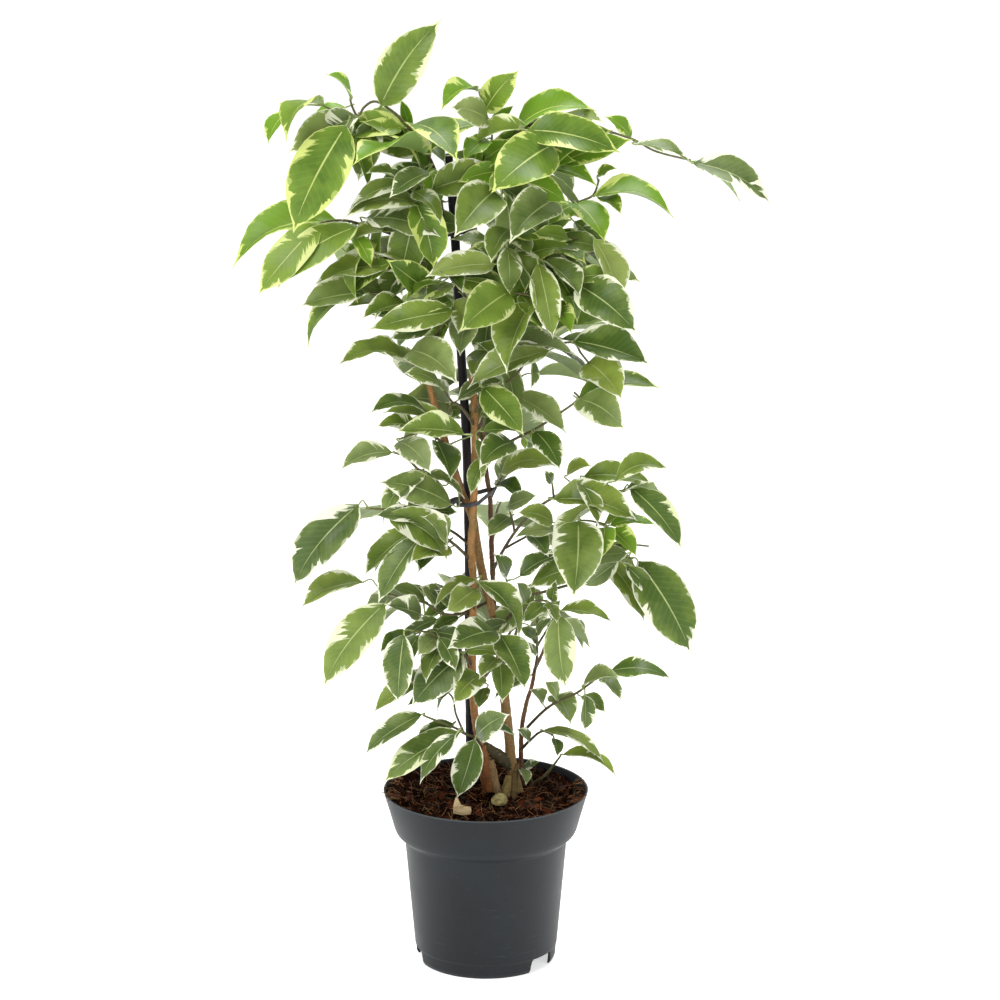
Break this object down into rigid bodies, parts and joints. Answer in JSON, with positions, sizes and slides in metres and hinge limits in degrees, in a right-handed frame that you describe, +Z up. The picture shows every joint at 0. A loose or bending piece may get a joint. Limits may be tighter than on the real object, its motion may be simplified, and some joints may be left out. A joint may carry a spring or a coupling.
{
  "type": "potted weeping fig",
  "caption": "Young potted weeping fig: slender bark stems tied to a black cane, drooping cream-edged leaves on arching twigs, and fibrous soil in a round collared nursery pot.",
  "frame": {"origin": "centre of the flat disc under the pot, on which the plant stands", "axes": "+Z up along the pot's axis; -Y is the side that the picture shows; +X is its right"},
  "size_m": [0.3043, 0.1825, 0.5666],
  "materials": {
    "pot_plastic": "satin",
    "potting_soil": "loose and rough",
    "bark": "satin bark",
    "young_bark": "satin bark",
    "cane": "glossy black",
    "tie": "satin",
    "chip": "rough",
    "old_wood": "rough",
    "leaf": "waxy upper face, dull lower face, green with a cream margin"
  },
  "bodies": {
    "root": {"pot": "pot_plastic", "soil": "potting_soil", "trunk": "bark", "right_stem": "young_bark", "cane": "cane", "lower_tie": "tie", "upper_tie": "tie", "bark_chip": "chip", "wood_nub": "old_wood", "spray_crown_left": "leaf", "spray_crown_inner": "leaf", "spray_shoulder_left": "leaf", "spray_far_left": "leaf", "spray_left_upper": "leaf", "spray_left_middle": "leaf", "spray_left_front": "leaf", "spray_left_lower": "leaf", "spray_waist_left": "leaf", "spray_waist_behind": "leaf", "spray_waist_front": "leaf", "spray_waist_lower": "leaf", "spray_crown_centre": "leaf", "spray_crown_right": "leaf", "spray_right_upper": "leaf", "spray_centre_right": "leaf", "spray_centre_front": "leaf", "spray_centre_high": "leaf", "spray_centre_left": "leaf", "spray_branch_right": "leaf", "spray_branch_top": "leaf", "spray_waist_right_top": "leaf", "spray_waist_right": "leaf", "spray_waist_right_low": "leaf", "spray_right_branch": "leaf", "spray_right_cluster": "leaf", "spray_low_middle": "leaf", "spray_low_front": "leaf", "spray_left_branch": "leaf", "spray_left_branch_low": "leaf", "spray_low_left": "leaf", "spray_low_centre": "leaf", "spray_foot_left": "leaf", "spray_foot_right": "leaf", "spray_foot_right_low": "leaf", "spray_right_thin": "leaf", "spray_base_sprout": "leaf", "spray_back_01": "leaf", "spray_back_02": "leaf", "spray_back_03": "leaf", "spray_back_04": "leaf", "spray_back_06": "leaf", "spray_back_07": "leaf", "spray_back_08": "leaf", "spray_back_09": "leaf", "spray_back_10": "leaf", "spray_back_11": "leaf", "spray_back_12": "leaf", "spray_back_13": "leaf", "spray_back_14": "leaf"}
  },
  "joints": []
}
